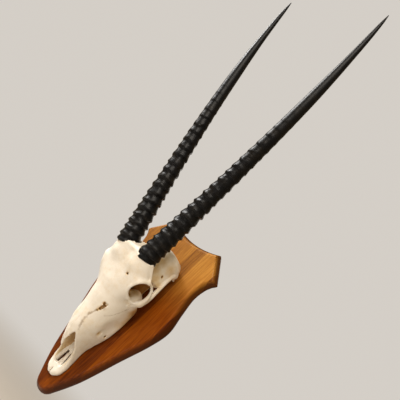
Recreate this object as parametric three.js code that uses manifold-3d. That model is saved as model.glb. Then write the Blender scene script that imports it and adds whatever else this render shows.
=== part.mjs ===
// A gemsbok's bleached upper skull and its two ringed horns on a varnished wooden wall shield.
// Millimetres. X is to the right, +Y points into the wall, +Z is up.
// The origin is on the shield's flat back, on the centre line, at the middle of the wall face.
import * as THREE from 'three';
import { mergeVertices } from 'three/addons/utils/BufferGeometryUtils.js';
import Module from 'manifold-3d';

const wasm = await Module();
wasm.setup();

// ---- driving dimensions -------------------------------------------------------------------

const boardThickness = 22;
const edgeSlope = { inset: 10, depth: 15 };      // the sloped front edge
const jointGap = 0.3;           // air between two pieces that touch
const noseHeight = -230;        // z of the skull's front tip

const skullSides = 24;
const boneRest = -(boardThickness + jointGap);   // y of the skull's flat underside

const hornSides = 14;
const hornBaseDiameter = 53;
const ringCount = 17;
const ringedShare = 0.5;        // share of the horn's length that carries rings

// ---- small helpers ------------------------------------------------------------------------

// A closed solid from a geometry, ready for joining and cutting.
function toSolid(geometry) {
  const bare = geometry.clone();
  bare.deleteAttribute('normal');
  bare.deleteAttribute('uv');
  const merged = mergeVertices(bare, 1e-4);
  const corners = merged.index.array;
  const kept = [];
  for (let first = 0; first < corners.length; first += 3) {
    const [a, b, c] = corners.slice(first, first + 3);
    if (a !== b && b !== c && c !== a) kept.push(a, b, c);
  }
  return new wasm.Manifold(new wasm.Mesh({
    numProp: 3,
    vertProperties: new Float32Array(merged.attributes.position.array),
    triVerts: new Uint32Array(kept),
  }));
}

// A geometry from a joined or cut solid.
function toGeometry(solid) {
  const mesh = solid.getMesh();
  const geometry = new THREE.BufferGeometry();
  geometry.setAttribute('position', new THREE.BufferAttribute(new Float32Array(mesh.vertProperties), 3));
  geometry.setIndex(new THREE.BufferAttribute(new Uint32Array(mesh.triVerts), 1));
  geometry.computeVertexNormals();
  return geometry;
}

// A skin over rings of equal point count, closed by a centre point at each end.
function loft(rings) {
  const sides = rings[0].length;
  const points = rings.flat();
  const faces = [];
  for (let ring = 0; ring < rings.length - 1; ring += 1) {
    for (let side = 0; side < sides; side += 1) {
      const next = (side + 1) % sides;
      const low = ring * sides;
      const high = low + sides;
      faces.push(low + side, low + next, high + next);
      faces.push(low + side, high + next, high + side);
    }
  }
  const middle = (ring) => ring
    .reduce((sum, point) => sum.add(point), new THREE.Vector3())
    .divideScalar(ring.length);
  const first = points.length;
  points.push(middle(rings[0]), middle(rings[rings.length - 1]));
  const lastRing = (rings.length - 1) * sides;
  for (let side = 0; side < sides; side += 1) {
    const next = (side + 1) % sides;
    faces.push(first, next, side);
    faces.push(first + 1, lastRing + side, lastRing + next);
  }
  const geometry = new THREE.BufferGeometry().setFromPoints(points);
  geometry.setIndex(faces);
  return geometry;
}

function pieceMesh(name, geometry, colour, roughness, metalness = 0) {
  const material = new THREE.MeshStandardMaterial({ color: colour, roughness, metalness });
  const mesh = new THREE.Mesh(geometry, material);
  mesh.name = name;
  return mesh;
}

// A point of the skull: how far out from the middle, how high over its underside, how far from
// the nose tip.
function skullPoint(out, height, along) {
  return new THREE.Vector3(out, boneRest - height, noseHeight + along);
}

// An egg shape at a point of the skull, turned by a rotation.
function egg(centre, radii, turn = new THREE.Euler()) {
  const geometry = new THREE.SphereGeometry(1, 20, 14);
  geometry.applyMatrix4(new THREE.Matrix4().compose(
    centre,
    new THREE.Quaternion().setFromEuler(turn),
    new THREE.Vector3(...radii),
  ));
  return toSolid(geometry);
}

// A rod of even thickness along a smooth curve.
function rod(points, radius, sides, steps) {
  const section = new THREE.Shape();
  for (let side = 0; side < sides; side += 1) {
    const angle = (side / sides) * 2 * Math.PI;
    section[side ? 'lineTo' : 'moveTo'](radius * Math.cos(angle), radius * Math.sin(angle));
  }
  const extrudePath = new THREE.CatmullRomCurve3(points);
  return toSolid(new THREE.ExtrudeGeometry(section, { steps, extrudePath }));
}

// ---- shield board -------------------------------------------------------------------------

// Half of the outline, from the bottom tip up the right side, as [x, z from the nose tip].
const boardTip = [0, -45];
const boardTipSide = [27.5, -31];
const boardSide = [
  [63, 36], [98.5, 133], [126, 207], [137.5, 260], [128, 313], [120.5, 360], [125, 394], [133, 412],
];
const earCorner = [142, 423];
const earTop = [89, 491];       // the ear ends in a straight cut
const topMiddle = [0, 471];

function boardOutline() {
  const half = new THREE.Path();
  half.moveTo(...boardTip);
  half.bezierCurveTo(13, -45, 20, -41, ...boardTipSide);
  half.splineThru(boardSide.map((point) => new THREE.Vector2(...point)));
  half.lineTo(...earCorner);
  half.lineTo(...earTop);
  half.bezierCurveTo(60, 478, 30, 471, ...topMiddle);
  const right = half.getPoints(4);
  const left = right.slice(1, -1).reverse().map((point) => new THREE.Vector2(-point.x, point.y));
  return new THREE.Shape([...right, ...left]);
}

const hangerPocket = { width: 74, height: 30, depth: 6, radius: 8, along: 410 };
const hangerScrewSpread = 52;
const skullScrews = { front: 150, rear: 300 };   // distance from the nose tip

function pocketShape(width, height, radius) {
  const shape = new THREE.Shape();
  const x = width / 2;
  const y = height / 2;
  shape.moveTo(-x + radius, -y);
  shape.lineTo(x - radius, -y);
  shape.absarc(x - radius, -y + radius, radius, -Math.PI / 2, 0);
  shape.absarc(x - radius, y - radius, radius, 0, Math.PI / 2);
  shape.absarc(-x + radius, y - radius, radius, Math.PI / 2, Math.PI);
  shape.absarc(-x + radius, -y + radius, radius, Math.PI, 1.5 * Math.PI);
  return shape;
}

// An upright shape pushed into the board from its back, from one depth to another.
function backPrism(shape, along, from, to) {
  const geometry = new THREE.ExtrudeGeometry(shape, { depth: to - from, bevelEnabled: false, curveSegments: 3 });
  geometry.rotateX(Math.PI / 2);
  geometry.translate(0, -from, noseHeight + along);
  return geometry;
}

// A round turned along Y: profile points are [radius, depth into the board from its back].
function turned(profile, x, along, sides = 16) {
  const geometry = new THREE.LatheGeometry(profile.map((point) => new THREE.Vector2(...point)), sides);
  geometry.rotateX(Math.PI);
  geometry.translate(x, 0, noseHeight + along);
  return geometry;
}

function shieldBoard() {
  const slab = new THREE.ExtrudeGeometry(boardOutline(), {
    depth: boardThickness,
    bevelThickness: edgeSlope.depth,
    bevelSize: edgeSlope.inset,
    bevelOffset: -edgeSlope.inset,
    bevelSegments: 1,
  });
  slab.rotateX(Math.PI / 2);
  slab.translate(0, edgeSlope.depth, noseHeight);
  const behind = new THREE.BoxGeometry(400, 40, 800);
  behind.translate(0, 20, 0);
  let board = toSolid(slab).subtract(toSolid(behind));

  const { width, height, depth, radius, along } = hangerPocket;
  board = board.subtract(toSolid(backPrism(pocketShape(width, height, radius), along, -1, depth)));
  for (const x of [-hangerScrewSpread / 2, hangerScrewSpread / 2]) {
    board = board.subtract(toSolid(turned([[0, depth - 1], [1.9, depth - 1], [1.9, 17.4], [0, 17.4]], x, along)));
  }
  for (const station of Object.values(skullScrews)) {
    const hole = [[0, -1], [6.4, -1], [6.4, 1.2], [2.8, 5], [2.8, boardThickness + 1], [0, boardThickness + 1]];
    board = board.subtract(toSolid(turned(hole, 0, station)));
  }
  return toGeometry(board);
}

// ---- hanger and screws --------------------------------------------------------------------

function hangerPlate() {
  const { width, height, depth, radius, along } = hangerPocket;
  const thickness = 2;
  const back = depth - jointGap - thickness;
  const outline = pocketShape(width - 2, height - 2, radius - 1);
  const plate = toSolid(backPrism(outline, along, back, back + thickness));

  const keyhole = new THREE.Shape();
  keyhole.absarc(0, -5, 5, Math.PI * 0.62, Math.PI * 2.38);
  keyhole.lineTo(1.9, 6);
  keyhole.absarc(0, 6, 1.9, 0, Math.PI);
  let cut = plate.subtract(toSolid(backPrism(keyhole, along, back - 1, back + thickness + 1)));
  for (const x of [-hangerScrewSpread / 2, hangerScrewSpread / 2]) {
    cut = cut.subtract(toSolid(turned([[0, 0], [2.1, 0], [2.1, depth], [0, depth]], x, along)));
  }
  return toGeometry(cut);
}

function hangerScrew(x) {
  const headBack = 1.3;
  const seat = hangerPocket.depth - jointGap - 2 - jointGap;
  const profile = [
    [0, headBack], [2.6, headBack], [3.9, seat], [1.6, seat], [1.6, 14], [0, 17],
  ];
  return turned(profile, x, hangerPocket.along);
}

function skullScrew(station) {
  const profile = [
    [0, 0.5], [6, 0.5], [6, 0.9], [2.4, 4.6], [2.4, 36], [0, 40],
  ];
  return turned(profile, 0, station);
}

// ---- skull --------------------------------------------------------------------------------

// Sections of the skull from the nose tip back: distance, half width, height of the widest
// point, height of the crown, and how square the upper and lower halves are (2 is round).
const skullSections = [
  [0, 9, 6, 10, 2, 4],
  [9, 19, 6, 14, 2.4, 4],
  [28, 26.5, 6, 17, 2.6, 4],
  [50, 27, 8, 36, 2, 4],
  [70, 26, 10, 60, 2.1, 4],
  [92, 27, 12, 76, 2.4, 4],
  [112, 33, 12, 85, 2.5, 4],
  [139, 43, 14, 92, 2.6, 4],
  [170, 50, 18, 98, 2.3, 4],
  [201, 54, 30, 108, 2.3, 4],
  [228, 60, 60, 117, 2.3, 2.6],
  [250, 72, 82, 125, 2.5, 1.8],
  [272, 80, 100, 131, 3, 1.6],
  [296, 76, 104, 138, 2.5, 1.6],
  [322, 70, 110, 148, 2.5, 1.6],
  [334, 64, 112, 153, 2.4, 1.6],
  [350, 56, 76, 128, 2.2, 2.6],
  [368, 60, 54, 104, 2.1, 4],
  [384, 58, 44, 78, 2.2, 4],
  [394, 40, 38, 58, 2.2, 3],
];

function skullRing([along, halfWidth, wideHeight, crown, upperSquareness, lowerSquareness]) {
  const ring = [];
  for (let step = 0; step < skullSides; step += 1) {
    const angle = (step / skullSides) * 2 * Math.PI;
    const upper = Math.sin(angle) > 0;
    const power = 2 / (upper ? upperSquareness : lowerSquareness);
    const reach = upper ? crown - wideHeight : wideHeight;
    const out = halfWidth * Math.sign(Math.cos(angle)) * Math.abs(Math.cos(angle)) ** power;
    const rise = wideHeight + reach * Math.sign(Math.sin(angle)) * Math.abs(Math.sin(angle)) ** power;
    ring.push(skullPoint(out, rise, along));
  }
  return ring.reverse();
}

// The horn's axis as a cubic curve: base, two handles and tip, as [out, height, along].
const hornAxes = {
  left: [[35, 130, 338], [85, 204, 594], [131, 269, 848], [141, 331, 1108]],
  right: [[-41, 131, 336], [-86, 194, 590], [-133.5, 258, 839], [-142.5, 306.5, 1095]],
};

function hornCurve(side) {
  return new THREE.CubicBezierCurve3(...hornAxes[side].map((point) => skullPoint(...point)));
}

// A round bar on a horn's axis, between two distances from the horn's base plane.
function hornBar(side, radius, from, to) {
  const curve = hornCurve(side);
  const base = curve.getPoint(0);
  const geometry = new THREE.CylinderGeometry(radius, radius, to - from, 20);
  geometry.translate(0, (from + to) / 2, 0);
  geometry.applyQuaternion(
    new THREE.Quaternion().setFromUnitVectors(new THREE.Vector3(0, 1, 0), curve.getTangent(0)),
  );
  geometry.translate(base.x, base.y, base.z);
  return toSolid(geometry);
}

function skull() {
  let bone = toSolid(loft(skullSections.map(skullRing)));
  for (const side of ['left', 'right']) {
    bone = bone.add(hornBar(side, hornBaseDiameter * 0.46, -26, -jointGap));
    bone = bone.subtract(hornBar(side, hornBaseDiameter * 0.56, -jointGap, 60));
  }
  const nasalOpening = egg(skullPoint(0, 41, 80), [23, 18, 44], new THREE.Euler(-0.45, 0, 0));
  bone = bone.subtract(nasalOpening);
  for (const hand of [1, -1]) {
    const templeHollow = egg(skullPoint(hand * 84, 62, 321), [29, 34, 23]);
    const orbit = egg(skullPoint(hand * 74, 82, 274), [30, 24, 23]);
    bone = bone.subtract(templeHollow).subtract(orbit);
    const arch = [[60, 56, 240], [72, 50, 262], [75, 46, 288], [72, 34, 318], [68, 27, 350], [56, 30, 366]];
    bone = bone.add(rod(arch.map(([out, height, along]) => skullPoint(hand * out, height, along)), 6, 8, 8));
    const bar = [[70, 108, 296], [77, 88, 301], [77, 64, 294], [73, 48, 284]];
    bone = bone.add(rod(bar.map(([out, height, along]) => skullPoint(hand * out, height, along)), 4.5, 8, 6));
  }
  for (const station of Object.values(skullScrews)) {
    bone = bone.subtract(toSolid(turned([[0, 0], [2.7, 0], [2.7, 41], [0, 41]], 0, station)));
  }
  const under = new THREE.BoxGeometry(400, 200, 800);
  under.translate(0, boneRest + 100, 0);
  return toGeometry(bone.subtract(toSolid(under)));
}

// ---- horns --------------------------------------------------------------------------------

// The smooth taper of a horn: share of its length against share of the base diameter.
function hornTaper(share) {
  const swell = 1 - 0.4 * share;
  return Math.max(0.03, swell * Math.min(1, (1 - share) / 0.36) ** 0.8);
}

function horn(side) {
  const curve = hornCurve(side);
  const ringPitch = ringedShare / ringCount;
  const shares = [0];
  for (let ring = 0; ring < ringCount; ring += 1) {
    shares.push((ring + 0.35) * ringPitch, (ring + 0.7) * ringPitch, (ring + 1) * ringPitch);
  }
  for (let step = 1; step <= 12; step += 1) {
    shares.push(ringedShare + (1 - ringedShare) * (step / 12));
  }
  const frames = curve.computeFrenetFrames(shares.length - 1, false);
  const rings = shares.map((share, index) => {
    const centre = curve.getPoint(share);
    const crest = share > 0 && share < ringedShare && index % 3 !== 0 ? 1 : 0.92;
    const radius = (hornBaseDiameter / 2) * hornTaper(share) * (share < ringedShare ? crest : 0.95);
    const ring = [];
    for (let step = 0; step < hornSides; step += 1) {
      const angle = (step / hornSides) * 2 * Math.PI;
      ring.push(centre.clone()
        .addScaledVector(frames.normals[index], radius * Math.cos(angle))
        .addScaledVector(frames.binormals[index], radius * Math.sin(angle)));
    }
    return ring;
  });
  return loft(rings);
}

// ---- assembly -----------------------------------------------------------------------------

const trophy = new THREE.Group();
trophy.add(pieceMesh('shield_board', shieldBoard(), 0x8a4a1c, 0.35));
trophy.add(pieceMesh('skull', skull(), 0xe8e2d4, 0.7));
trophy.add(pieceMesh('horn_left', horn('left'), 0x1c1d21, 0.5));
trophy.add(pieceMesh('horn_right', horn('right'), 0x1c1d21, 0.5));
trophy.add(pieceMesh('hanger_plate', hangerPlate(), 0xb8b49a, 0.35, 1));
trophy.add(pieceMesh('hanger_screw_left', hangerScrew(hangerScrewSpread / 2), 0xb8b49a, 0.35, 1));
trophy.add(pieceMesh('hanger_screw_right', hangerScrew(-hangerScrewSpread / 2), 0xb8b49a, 0.35, 1));
trophy.add(pieceMesh('skull_screw_front', skullScrew(skullScrews.front), 0x9a9a98, 0.35, 1));
trophy.add(pieceMesh('skull_screw_rear', skullScrew(skullScrews.rear), 0x9a9a98, 0.35, 1));

export default trophy;
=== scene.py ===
import math

import bpy
import numpy as np
from mathutils import Matrix, Vector


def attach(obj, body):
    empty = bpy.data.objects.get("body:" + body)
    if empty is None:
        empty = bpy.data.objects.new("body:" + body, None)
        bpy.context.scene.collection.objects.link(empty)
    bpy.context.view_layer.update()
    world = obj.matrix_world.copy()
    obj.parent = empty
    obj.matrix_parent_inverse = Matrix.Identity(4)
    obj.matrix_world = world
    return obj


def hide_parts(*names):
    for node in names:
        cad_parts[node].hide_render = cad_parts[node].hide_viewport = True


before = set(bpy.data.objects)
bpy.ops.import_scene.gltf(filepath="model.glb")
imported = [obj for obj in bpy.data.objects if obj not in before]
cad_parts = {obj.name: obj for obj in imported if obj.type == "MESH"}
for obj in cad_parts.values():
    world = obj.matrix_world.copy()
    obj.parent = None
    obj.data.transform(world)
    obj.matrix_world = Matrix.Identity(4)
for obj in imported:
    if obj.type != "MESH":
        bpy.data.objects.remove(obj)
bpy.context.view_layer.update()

mm = 0.001
restHeight = 22.3        # the skull's underside, in front of the wall
noseZ = -230.0           # the skull's nose tip


def skullPoint(out, height, along):
    # a point of the skull, in millimetres, put in its place in metres
    return Vector((out * mm, -(restHeight + height) * mm, (noseZ + along) * mm))


# small helpers for node trees and meshes

def put(tree, kind, inputs=None, **settings):
    node = tree.nodes.new(kind)
    for key, value in settings.items():
        setattr(node, key, value)
    for key, value in (inputs or {}).items():
        if isinstance(value, bpy.types.NodeSocket):
            tree.links.new(value, node.inputs[key])
        else:
            node.inputs[key].default_value = value
    return node


def calc(tree, operation, *values):
    inputs = dict(enumerate(values))
    return put(tree, "ShaderNodeMath", inputs, operation=operation).outputs[0]


def times(tree, first, second):
    return calc(tree, "MULTIPLY", first, second)


def swayed(tree, base, wave, reach, middle=0.5):
    # the base value, up and down with a wave about its middle
    return calc(tree, "MULTIPLY_ADD", calc(tree, "SUBTRACT", wave, middle), reach, base)


def vectorCalc(tree, operation, *values):
    inputs = dict(enumerate(values))
    node = put(tree, "ShaderNodeVectorMath", inputs, operation=operation)
    return node.outputs["Value" if operation in ("DOT_PRODUCT", "LENGTH") else "Vector"]


def scaled(tree, vector, factor):
    inputs = {0: vector, "Scale": factor}
    return put(tree, "ShaderNodeVectorMath", inputs, operation="SCALE").outputs["Vector"]


def joinXyz(tree, x, y, z):
    return put(tree, "ShaderNodeCombineXYZ", {"X": x, "Y": y, "Z": z}).outputs[0]


def splitXyz(tree, vector):
    return put(tree, "ShaderNodeSeparateXYZ", {"Vector": vector}).outputs


def noise(tree, vector, scale, detail=3.0, roughness=0.55, stretch=None):
    vector = vectorCalc(tree, "MULTIPLY", vector, stretch) if stretch else vector
    inputs = {"Vector": vector, "Scale": scale, "Detail": detail, "Roughness": roughness}
    return put(tree, "ShaderNodeTexNoise", inputs).outputs[0]


def remap(tree, value, fromLow, fromHigh, toLow=0.0, toHigh=1.0, kind="SMOOTHSTEP"):
    inputs = {0: value, 1: fromLow, 2: fromHigh, 3: toLow, 4: toHigh}
    return put(tree, "ShaderNodeMapRange", inputs, interpolation_type=kind).outputs[0]


def mixColour(tree, share, first, second, blend="MIX"):
    inputs = {0: share, 6: first, 7: second}
    return put(tree, "ShaderNodeMix", inputs, data_type="RGBA", blend_type=blend).outputs[2]


def colour(red, green, blue):
    return (red, green, blue, 1.0)


def attribute(tree, name, output="Fac"):
    return put(tree, "ShaderNodeAttribute", attribute_name=name).outputs[output]


def ramp(tree, value, stops):
    node = put(tree, "ShaderNodeValToRGB", {"Fac": value})
    elements = node.color_ramp.elements
    for index, (position, tint) in enumerate(stops):
        stop = elements[index] if index < 2 else elements.new(position)
        stop.position = position
        stop.color = tint
    return node.outputs[0]


def dress(tree, shader, tone, roughness, relief, distance, strength):
    # links a finish's colour, roughness and fine relief to its shader
    inputs = {"Height": relief, "Distance": distance, "Strength": strength}
    bump = put(tree, "ShaderNodeBump", inputs).outputs[0]
    for name, value in (("Base Color", tone), ("Roughness", roughness), ("Normal", bump)):
        tree.links.new(value, shader.inputs[name])


def newMaterial(name):
    material = bpy.data.materials.new(name)
    material.use_nodes = True
    tree = material.node_tree
    tree.nodes.clear()
    shader = put(tree, "ShaderNodeBsdfPrincipled")
    out = put(tree, "ShaderNodeOutputMaterial")
    tree.links.new(shader.outputs[0], out.inputs[0])
    place = put(tree, "ShaderNodeTexCoord").outputs["Object"]
    return material, tree, shader, place


def newMesh(name, points, faces):
    mesh = bpy.data.meshes.new(name)
    mesh.from_pydata([tuple(point) for point in points], [], [tuple(face) for face in faces])
    mesh.update()
    return mesh


def newObject(name, data, material=None):
    piece = bpy.data.objects.new(name, data)
    bpy.context.scene.collection.objects.link(piece)
    if material:
        oneMaterial(data, material)
    return piece


def makePlain(piece):
    # the modifiers' result takes the place of the piece's mesh
    bpy.context.view_layer.update()
    evaluated = piece.evaluated_get(bpy.context.evaluated_depsgraph_get())
    mesh = bpy.data.meshes.new_from_object(evaluated)
    piece.modifiers.clear()
    old = piece.data
    piece.data = mesh
    bpy.data.meshes.remove(old)
    mesh.name = piece.name


def oneMaterial(mesh, material):
    mesh.polygons.foreach_set("material_index", np.zeros(len(mesh.polygons), np.int32))
    mesh.materials.clear()
    mesh.materials.append(material)


def grow(name, tree, values):
    # a plain mesh from a Geometry Nodes tree with its named inputs set
    piece = newObject(name, bpy.data.meshes.new(name))
    modifier = piece.modifiers.new(tree.name, "NODES")
    modifier.node_group = tree
    for item in tree.interface.items_tree:
        if item.in_out == "INPUT":
            modifier[item.identifier] = values[item.name]
    makePlain(piece)
    oneMaterial(piece.data, values["Material"])
    return piece


def newTree(name, sockets, plan):
    # inputs for the sockets named here, and one for each value of the plan
    tree = bpy.data.node_groups.new(name, "GeometryNodeTree")
    planned = {label: "Int" if isinstance(value, int) else "Float" for label, value in plan.items()}
    for label, kind in {**sockets, **planned}.items():
        tree.interface.new_socket(label, in_out="INPUT", socket_type="NodeSocket" + kind)
    tree.interface.new_socket("Geometry", in_out="OUTPUT", socket_type="NodeSocketGeometry")
    return tree, put(tree, "NodeGroupInput").outputs


def finishTree(tree, body, material):
    body = put(tree, "GeometryNodeRealizeInstances", {"Geometry": body}).outputs[0]
    inputs = {"Geometry": body, "Material": material}
    body = put(tree, "GeometryNodeSetMaterial", inputs).outputs[0]
    put(tree, "NodeGroupOutput", {"Geometry": body})


# camera

view = {
    "place": (0.6480, -0.9835, -0.0212),
    "lens": 39.56,
    "right": (0.66732593, 0.2342356, 0.70697227),
    "down": (0.46922752, 0.60492899, -0.64334008),
    "ahead": (-0.57836117, 0.76104836, 0.29377501),
}


def makeCamera():
    data = bpy.data.cameras.new("camera")
    data.lens = view["lens"]
    data.sensor_width = 36.0
    data.sensor_fit = "HORIZONTAL"
    data.clip_start = 0.05
    camera = newObject("camera", data)
    right, down, ahead = (Vector(view[key]) for key in ("right", "down", "ahead"))
    turn = Matrix((right, -down, -ahead)).transposed()
    camera.matrix_world = Matrix.Translation(view["place"]) @ turn.to_4x4()
    bpy.context.scene.camera = camera


makeCamera()
print("camera placed")

# bone finish

boneLook = {
    "stages": [   # from clean bone to the darkest painted shade in deep hollows
        (0.0, colour(0.82, 0.775, 0.70)), (0.3, colour(0.70, 0.555, 0.34)),
        (0.65, colour(0.43, 0.215, 0.05)), (1.0, colour(0.05, 0.02, 0.005)),
    ],
    "toneSway": 0.35,
    "mottle": colour(0.90, 0.86, 0.78),
    "mottleShare": 0.35,
    "seam": colour(0.26, 0.17, 0.09),
    "seamShare": 0.85,
    "roughness": (0.48, 0.7),
    "broadScale": 14.0,
    "patchScale": 60.0,
    "grainScale": 520.0,
    "pitScale": 420.0,
}


def makeBone():
    look = boneLook
    material, tree, shader, place = newMaterial("bleached bone")
    seam = attribute(tree, "seam")
    broad = noise(tree, place, look["broadScale"], 3.0)
    patch = noise(tree, place, look["patchScale"], 5.0, 0.62)
    grain = noise(tree, place, look["grainScale"], 4.0, 0.6)
    inputs = {"Vector": place, "Scale": look["pitScale"]}
    pits = remap(tree, put(tree, "ShaderNodeTexVoronoi", inputs).outputs["Distance"], 0.0, 0.35)
    # painted shade: concave places and the layer of painted shade spots darken the bone towards the
    # dark stages
    hollow = remap(tree, attribute(tree, "hollow"), 0.5, 0.85)
    depth = calc(tree, "MULTIPLY_ADD", hollow, 0.5, attribute(tree, "shade_and_stain"))
    for wave in (broad, patch):
        depth = swayed(tree, depth, wave, look["toneSway"])
    mottle = remap(tree, patch, 0.35, 0.75, 0.0, look["mottleShare"])
    tone = mixColour(tree, mottle, ramp(tree, depth, look["stages"]), look["mottle"], "MULTIPLY")
    tone = mixColour(tree, times(tree, seam, look["seamShare"]), tone, look["seam"])
    relief = calc(tree, "MULTIPLY_ADD", grain, 0.6, times(tree, pits, 0.4))
    relief = calc(tree, "MULTIPLY_ADD", patch, 0.35, relief)
    relief = calc(tree, "SUBTRACT", relief, times(tree, seam, 1.2))
    rough = remap(tree, patch, 0.3, 0.7, *look["roughness"])
    dress(tree, shader, tone, rough, relief, 0.6 * mm, 0.5)
    return material


# skull: one closed bone, worked out as a solid on a grid and skinned

skullPlan = {
    "cell": 1.7,          # millimetres between grid points
    "wall": 4.5,          # bone round the nasal cavity
    "pedicleRadius": 24.5,
    "seatDepth": 5.0,     # how far the horns sit down over the bone
    "slotRadius": {"left": 1.9, "right": 2.9},    # the palate's two slots
    "noseBack": 113,      # how far back the nose is open on top
    "unevenness": 0.2,
    "seamDepth": 0.45,
    "seed": 7,
}

# rows from the nose tip back: along, half width, height of the widest point, top, bottom,
# squareness above and below
faceRows = [
    [0, 9, 6, 10, 0, 2, 4], [9, 19, 6, 14, 0, 2.4, 4], [28, 26.5, 6, 17, 0, 2.6, 4],
    [50, 27, 8, 36, 0, 2, 4], [70, 26, 10, 60, 0, 2.1, 4], [92, 27, 12, 76, 0, 2.4, 4],
    [112, 33, 12, 85, 0, 2.5, 4], [139, 43, 14, 92, 0, 2.6, 4], [170, 50, 18, 98, 0, 2.3, 4],
    [201, 54, 30, 108, 0, 2.3, 4], [222, 56, 44, 114, 0, 2.3, 4], [234, 57, 56, 118, 0, 2.3, 4],
    [244, 57, 66, 121, 8, 2.4, 4], [252, 54, 73, 121, 26, 2.4, 3], [262, 50, 80, 120, 52, 2.4, 2],
]
browRows = [
    [205, 26, 86, 102, 70, 2.3, 2], [228, 44, 90, 114, 70, 2.3, 2], [250, 62, 96, 124, 78, 2.4, 2],
    [265, 71, 101, 129, 84, 2.5, 2], [279, 78, 104.5, 133, 86, 2.7, 2],
    [292, 74, 105, 137, 86, 2.5, 2], [305, 70, 108, 142, 90, 2.4, 2],
    [320, 66, 114, 148, 94, 2.4, 2], [334, 58, 118, 152, 90, 2.4, 2],
    [350, 44, 104, 128, 74, 2.2, 2], [364, 38, 88, 109, 60, 2.2, 2],
]
hindRows = [
    [286, 26, 58, 100, 10, 2, 2.4], [300, 38, 60, 118, 18, 1.8, 2.4],
    [307, 60, 52, 124, 34, 1.5, 2], [320, 68, 50, 132, 30, 1.35, 2],
    [335, 65, 46, 134, 22, 1.4, 2], [348, 61, 42, 126, 8, 1.6, 2.6],
    [360, 59, 40, 105, 0, 1.7, 3.4], [374, 58, 40, 90, 0, 1.9, 4], [385, 56, 40, 83, 0, 2.1, 4],
    [393, 50, 38, 78, 4, 2.1, 3], [399, 36, 36, 66, 12, 2, 3],
]
baseRows = [
    [205, 34, 30, 60, 0, 2, 4], [250, 26, 30, 84, 0, 2, 4], [300, 26, 36, 84, 0, 2, 4],
    [345, 34, 36, 84, 0, 2, 4],
]
channelRows = [   # the open floor of the nose
    [14, 6, 20, 32, 11, 2, 2], [30, 15, 22, 40, 8, 2, 2.4], [52, 20, 30, 54, 8, 2, 2.4],
    [76, 21, 44, 70, 12, 2, 2.4], [100, 23, 48, 80, 14, 2, 2.4], [135, 26, 52, 84, 20, 2, 2.4],
    [160, 16, 56, 76, 36, 2, 2],
]
rimLine = (   # along, height of the nose's open edge
    [-10, 9, 30, 50, 60, 67, 78, 86, 95, 104, 113], [11, 13, 15, 20, 25, 30, 36.5, 49, 61, 72, 80],
)
nasalWidth = {   # the longer nasal bone is on the right side
    "left": ([68, 72, 79, 92, 102, 113, 130], [0.4, 1.0, 2.5, 8, 11.5, 16.5, 22]),
    "right": ([62, 66, 72, 79, 92, 102, 113, 130], [3.0, 6.5, 8, 9, 11, 13.5, 17, 22]),
}
nasalEnd = {"left": 70, "right": 63}
# points of the eye socket's edge and the bone's thickness there
socketRim = [
    [60, 121, 271, 2.4], [57, 119, 261, 2.0], [55.5, 110, 253, 1.4], [57, 98.5, 246.5, 1.2],
    [62, 86, 242, 1.4], [66, 73, 245, 3.2], [71, 62, 257, 5], [76, 63, 272, 5], [78, 70, 287, 4.2],
    [78, 86, 298.5, 3], [76, 100, 299.5, 2.8], [72.5, 111, 295, 2.6], [66, 119, 284, 2.6],
]
cheekRidge = [[60, 77, 228, 0.6], [63, 68, 237, 2.4], [66.5, 61, 245, 4], [70, 55, 254, 5]]
# the thin bone dome in the socket
eyeBulb = {"centre": (42, 53.5, 247), "radii": (22.5, 24, 28.5)}
cheekArch = [
    [70, 58, 256, 7], [73, 54, 270, 6.5], [75, 54, 286, 5.5], [74, 53, 302, 5], [72, 50, 318, 5],
    [68, 45, 332, 5], [62, 35, 346, 5], [57, 28, 358, 5],
]
templeRidge = [[75, 102, 300, 3], [71, 106, 309, 2.6], [67, 116, 320, 2.4], [61, 128, 330, 2.4]]
napeCrest = [
    [0, 76, 395, 3], [20, 75, 395, 3], [36, 71, 394.5, 2.8], [46, 65, 392.5, 2.6],
    [53, 58, 389.5, 2.6], [57.5, 50, 384.5, 2.6], [59.5, 38, 379, 2.6], [59.5, 26, 373, 2.6],
    [58.5, 15, 366, 3],
]
seams = {
    "nasal": [
        [19.3, 79.5, 116], [15.8, 85.8, 125], [14.3, 89.9, 138], [15.6, 92.4, 152],
        [19, 93.2, 166], [23, 93.1, 175],
    ],
    "cheek": [
        [40, 78, 178], [42, 75, 183], [47, 68.8, 193], [51, 64.6, 204], [54.6, 60.3, 218.5],
        [57, 58.6, 227],
    ],
}
leftPaintedShadeSpots = [   # painted shade spots in the left side's openings: out, height, along, reach, strength
    [22, 91, 179, 4, 0.9], [22, 91, 185, 5, 0.9], [24, 92, 192, 5, 1.0], [25, 97, 198, 4, 0.9],
    [33, 130, 279, 3, 1.1],
]
paintedShadeSpots = [   # painted shade spots, the same on both sides: in holes and pits, on the temples, low by the board and at the back
    [41, 18, 146, 3, 1.3], [41, 42, 142, 5, 0.55], [58, 61, 336, 3.6, 1.1],
    [48, 88, 332, 18, 0.32], [58, 74, 321, 17, 0.34], [64, 60, 316, 13, 0.32],
    [50, 99, 326, 12, 0.28], [50, 10, 205, 24, 0.35], [54, 28, 232, 18, 0.5],
    [59, 52, 362, 16, 0.3], [48, 84, 364, 16, 0.3],
]
tearGaps = [   # the broken opening beside the nasal bones: outer end, inner end, two radii
    ((25, 98, 176), (20, 86, 176), 2.4, 2.0), ((29, 98, 182), (21, 86, 182), 3.6, 3.0),
    ((32, 99, 188), (22, 85, 188), 4.8, 3.8), ((33, 100, 195), (23, 85, 193), 5.4, 4.4),
    ((31, 104, 199), (23, 90, 197), 3.4, 2.8), ((39, 101, 202), (26, 87, 197), 2.5, 2.4),
]
rods = [   # points, whether closed, softness of the join
    (socketRim, True, 8), (cheekRidge, False, 9), (cheekArch, False, 4), (templeRidge, False, 5),
]
hornAxes = {   # base, two handles and tip, as out, height, along
    "horn_left": [[37, 130, 338], [86, 204, 594], [131, 269, 848], [141, 331, 1108]],
    "horn_right": [[-40, 131, 336], [-86, 194, 590], [-133.5, 258, 839], [-142.5, 306.5, 1095]],
}


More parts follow.
